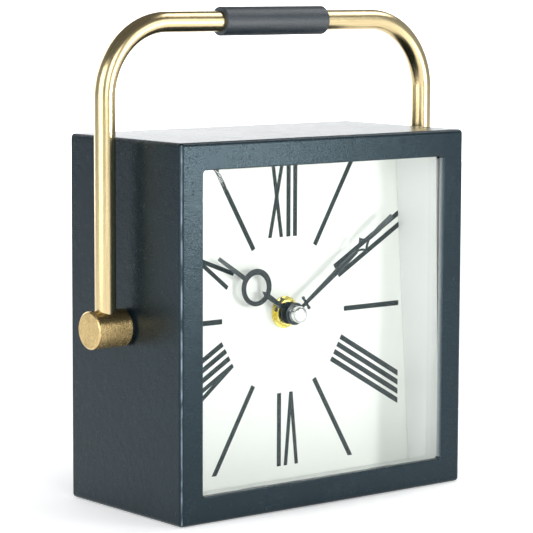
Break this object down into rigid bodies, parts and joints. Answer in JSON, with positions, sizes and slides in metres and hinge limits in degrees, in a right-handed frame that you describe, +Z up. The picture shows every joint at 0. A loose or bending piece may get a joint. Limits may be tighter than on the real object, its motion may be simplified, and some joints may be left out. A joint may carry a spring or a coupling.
{
  "type": "mantel clock",
  "caption": "Square black metal mantel clock with a deep-set white dial, radial Roman numbers, open-ring hands and a swinging brass carrying handle with a black grip.",
  "frame": {"origin": "on the surface the clock stands on, under the middle of the case", "axes": "+Z up, the dial faces -Y, +X to the viewer's right when facing the dial"},
  "size_m": [0.217, 0.088, 0.2388],
  "materials": {
    "case_paint": "semi-gloss blue-black powder coat on sheet steel",
    "glass": "clear float glass",
    "white_card": "matt white lining sheet",
    "dial_white": "smooth matt white",
    "print_grey": "matt dark grey-green print",
    "hand_black": "satin blue-black stamped metal",
    "brass": "satin lacquered brass",
    "bright_steel": "zinc-plated steel",
    "spring_steel": "bare spring steel",
    "nickel": "bright nickel plate",
    "nylon": "natural nylon",
    "black_plastic": "moulded black plastic",
    "gear_plastic": "natural acetal",
    "rubber": "soft black rubber",
    "grip_black": "pebbled black coating",
    "board_green": "solder-masked laminate",
    "copper": "enamelled copper wire",
    "magnet": "sintered magnet",
    "battery_wrap": "plain printed battery sleeve"
  },
  "bodies": {
    "case": {"back_panel": "case_paint", "back_screws": "bright_steel", "board_components": "black_plastic", "brass_washer": "brass", "case_shell": "case_paint", "catch_magnet": "magnet", "circuit_board": "board_green", "clinch_nuts": "bright_steel", "coil": "copper", "coil_core": "spring_steel", "dial_brackets": "bright_steel", "dial_numerals": "print_grey", "dial_nuts": "bright_steel", "dial_plate": "dial_white", "dial_studs": "bright_steel", "face_liner": "white_card", "glass_clips": "spring_steel", "glass_pane": "glass", "hex_nut": "brass", "hinge_leaf": "bright_steel", "hinge_pin": "bright_steel", "hinge_rivets": "bright_steel", "movement_cover": "black_plastic", "movement_housing": "black_plastic", "negative_contact": "nickel", "pivot_bushes": "nylon", "pivot_doublers": "bright_steel", "positive_contact": "nickel", "rubber_washer": "rubber", "stator": "spring_steel", "threaded_bushing": "brass", "train_plate": "gear_plastic"},
    "handle": {"handle_tube": "brass", "grip_sleeve": "grip_black", "left_pivot_knob": "brass", "right_pivot_knob": "brass", "pivot_studs": "bright_steel", "spring_washers": "spring_steel", "lock_nuts": "bright_steel"},
    "rear_door": {"access_door": "case_paint", "door_pull": "brass"},
    "minute_set": {"minute_arbor": "bright_steel", "minute_hand": "hand_black", "cap_nut": "nickel"},
    "hour_set": {"hour_wheel": "gear_plastic", "hour_hand": "hand_black"},
    "minute_wheel_set": {"minute_wheel": "gear_plastic"},
    "setting_set": {"setting_arbor": "gear_plastic", "setting_knob": "black_plastic"},
    "centre_wheel_set": {"centre_wheel": "gear_plastic"},
    "third_wheel_set": {"third_wheel": "gear_plastic"},
    "seconds_wheel_set": {"seconds_wheel": "gear_plastic"},
    "step_wheel_set": {"step_wheel": "gear_plastic"},
    "rotor_set": {"rotor": "magnet"},
    "battery_cell": {"battery": "battery_wrap"}
  },
  "joints": [
    {"name": "handle_swing", "type": "hinge", "parent": "case", "child": "handle", "pos_m": [0, 0, 0.089], "axis": [1, 0, 0], "range_deg": [-120, 120]},
    {"name": "rear_door_swing", "type": "hinge", "parent": "case", "child": "rear_door", "pos_m": [0.0538, 0.041, 0.089], "axis": [0, 0, -1], "range_deg": [0, 110]},
    {"name": "battery_slide", "type": "slide", "parent": "case", "child": "battery_cell", "axis": [0, 1, 0], "range_m": [0, 0.022]},
    {"name": "minute_hand_turn", "type": "hinge", "parent": "case", "child": "minute_set", "pos_m": [0, 0, 0.09], "axis": [0, 1, 0], "continuous": true},
    {"name": "hour_hand_turn", "type": "hinge", "parent": "case", "child": "hour_set", "pos_m": [0, 0, 0.09], "axis": [0, 1, 0], "continuous": true},
    {"name": "minute_wheel_turn", "type": "hinge", "parent": "case", "child": "minute_wheel_set", "pos_m": [0.00745, 0, 0.09745], "axis": [0, 1, 0], "continuous": true},
    {"name": "setting_knob_turn", "type": "hinge", "parent": "case", "child": "setting_set", "pos_m": [0.01658, 0, 0.09218], "axis": [0, 1, 0], "continuous": true},
    {"name": "rotor_turn", "type": "hinge", "parent": "case", "child": "rotor_set", "pos_m": [0.00349, 0, 0.10343], "axis": [0, 1, 0], "continuous": true},
    {"name": "step_wheel_turn", "type": "hinge", "parent": "case", "child": "step_wheel_set", "pos_m": [-0.00215, 0, 0.10343], "axis": [0, 1, 0], "continuous": true},
    {"name": "seconds_wheel_turn", "type": "hinge", "parent": "case", "child": "seconds_wheel_set", "pos_m": [-0.00783, 0, 0.10136], "axis": [0, 1, 0], "continuous": true},
    {"name": "third_wheel_turn", "type": "hinge", "parent": "case", "child": "third_wheel_set", "pos_m": [-0.00783, 0, 0.09452], "axis": [0, 1, 0], "continuous": true},
    {"name": "centre_wheel_turn", "type": "hinge", "parent": "case", "child": "centre_wheel_set", "pos_m": [0, 0, 0.09], "axis": [0, 1, 0], "continuous": true}
  ],
  "couplings": [
    {"joint": "hour_hand_turn", "follows": "minute_hand_turn", "ratio": 0.083333},
    {"joint": "minute_wheel_turn", "follows": "minute_hand_turn", "ratio": -0.33333},
    {"joint": "setting_knob_turn", "follows": "minute_hand_turn", "ratio": 1},
    {"joint": "step_wheel_turn", "follows": "rotor_turn", "ratio": -0.16667},
    {"joint": "seconds_wheel_turn", "follows": "rotor_turn", "ratio": 0.033333},
    {"joint": "third_wheel_turn", "follows": "rotor_turn", "ratio": -0.0044444},
    {"joint": "centre_wheel_turn", "follows": "rotor_turn", "ratio": 0.00055556}
  ]
}
